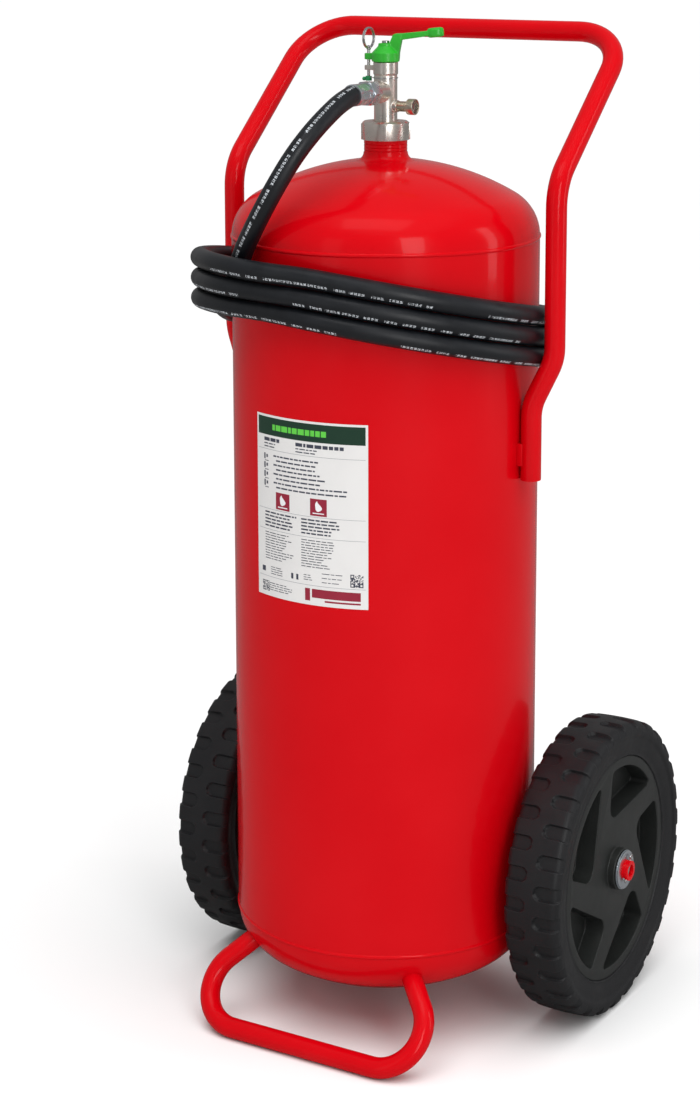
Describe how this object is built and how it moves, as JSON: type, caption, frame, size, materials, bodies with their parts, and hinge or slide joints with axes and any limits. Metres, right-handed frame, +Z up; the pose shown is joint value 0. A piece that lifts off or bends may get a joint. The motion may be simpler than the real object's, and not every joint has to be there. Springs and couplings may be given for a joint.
{
  "type": "wheeled fire extinguisher",
  "caption": "Wheeled fire extinguisher: red pressure cylinder on two wheels and a foot loop, tube handle, quarter-turn valve with gauge and safety pin, discharge hose wound round it.",
  "frame": {"origin": "middle of the footprint on the floor, which is the bottom centre of the whole object without the hose and its gun", "axes": "+Z up along the cylinder, -Y towards the label, the foot loop and the hose outlet, +Y towards the wheels and the handle bar, +X towards the side of the pressure gauge"},
  "size_m": [0.4628, 0.414, 0.99],
  "materials": {
    "red_paint": "gloss",
    "nickel": "satin",
    "zinc": "satin",
    "steel": "polished",
    "green_plastic": "satin",
    "seal_green": "matte",
    "hose_rubber": "satin",
    "seal_rubber": "matte",
    "dip_tube_plastic": "matte",
    "dial": "matte",
    "needle": "matte",
    "clear_lens": "gloss",
    "label_vinyl": "satin",
    "gun_plastic": "satin",
    "lance_aluminium": "satin",
    "rim_plastic": "satin",
    "tyre_rubber": "matte",
    "bush_plastic": "matte"
  },
  "bodies": {
    "root": {"axle_bracket_left": "red_paint", "axle_bracket_right": "red_paint", "axle_stop_collar_left": "red_paint", "axle_stop_collar_right": "red_paint", "axle_washers_left": "zinc", "axle_washers_right": "zinc", "bottom_head": "red_paint", "dip_tube": "dip_tube_plastic", "dip_tube_strainer": "dip_tube_plastic", "foot_bar": "red_paint", "gauge_case": "nickel", "gauge_dial": "dial", "gauge_lens": "clear_lens", "gun_body": "gun_plastic", "gun_ferrule": "zinc", "gun_hinge_pin": "steel", "handle_frame": "red_paint", "handle_welds": "red_paint", "holder_clip": "red_paint", "hose_coil": "hose_rubber", "hose_ferrule": "zinc", "hose_lead": "hose_rubber", "hose_nut": "zinc", "hose_run": "hose_rubber", "hose_tail": "zinc", "label": "label_vinyl", "lance_tube": "lance_aluminium", "neck_collar": "red_paint", "neck_seal": "seal_rubber", "nozzle_cup": "red_paint", "nozzle_tip": "lance_aluminium", "outlet_seal": "seal_rubber", "ring_nut": "nickel", "seal_bead": "seal_green", "seal_wire": "steel", "split_pin_left": "zinc", "split_pin_right": "zinc", "stub_axle_left": "red_paint", "stub_axle_right": "red_paint", "tank_shell": "red_paint", "top_head": "red_paint", "valve_body": "nickel", "valve_bonnet": "steel", "valve_spring": "steel", "weld_seams": "red_paint"},
    "wheel_left": {"wheel_rim_left": "rim_plastic", "tyre_left": "tyre_rubber", "hub_bushes_left": "bush_plastic"},
    "wheel_right": {"wheel_rim_right": "rim_plastic", "tyre_right": "tyre_rubber", "hub_bushes_right": "bush_plastic"},
    "lever": {"valve_lever": "green_plastic", "lever_screw": "steel"},
    "spindle": {"valve_plug": "steel"},
    "pin": {"safety_pin": "steel"},
    "ring": {"pull_ring": "steel"},
    "needle": {"gauge_needle": "needle"},
    "squeeze_lever": {"gun_lever": "gun_plastic"},
    "plunger": {"gun_plunger": "steel"}
  },
  "joints": [
    {"name": "wheel_left_spin", "type": "hinge", "parent": "root", "child": "wheel_left", "pos_m": [-0.19, 0.058, 0.149], "axis": [1, 0, 0], "continuous": true},
    {"name": "wheel_right_spin", "type": "hinge", "parent": "root", "child": "wheel_right", "pos_m": [0.19, 0.058, 0.149], "axis": [1, 0, 0], "continuous": true},
    {"name": "lever_turn", "type": "hinge", "parent": "root", "child": "lever", "pos_m": [0, -0.033, 0.96], "axis": [0, 0, -1], "range_deg": [0, 90]},
    {"name": "plug_lift", "type": "slide", "parent": "root", "child": "spindle", "axis": [0, 0, 1], "range_m": [0, 0.004], "deforming": ["valve_spring"]},
    {"name": "safety_pin_pull", "type": "slide", "parent": "lever", "child": "pin", "axis": [0, 0, 1], "range_m": [0, 0.035]},
    {"name": "pull_ring_swing", "type": "hinge", "parent": "pin", "child": "ring", "pos_m": [-0.019, -0.033, 0.968], "axis": [0, 1, 0], "range_deg": [-105, 45]},
    {"name": "gauge_needle_turn", "type": "hinge", "parent": "root", "child": "needle", "pos_m": [0.028, -0.033, 0.913], "axis": [1, 0, 0], "range_deg": [-45, 125], "stiffness_Nm_per_rad": 0.0002},
    {"name": "gun_squeeze", "type": "hinge", "parent": "root", "child": "squeeze_lever", "pos_m": [-0.068, 0.157, 0.54], "axis": [-1, 0, 0], "range_deg": [0, 8], "stiffness_Nm_per_rad": 2, "springref_deg": -5.73},
    {"name": "gun_plunger_press", "type": "slide", "parent": "root", "child": "plunger", "axis": [0, -1, 0], "range_m": [0, 0.0026]}
  ],
  "couplings": [
    {"joint": "plug_lift", "follows": "lever_turn", "m_per_rad": 0.0025465},
    {"joint": "gun_plunger_press", "follows": "gun_squeeze", "m_per_rad": 0.018}
  ]
}
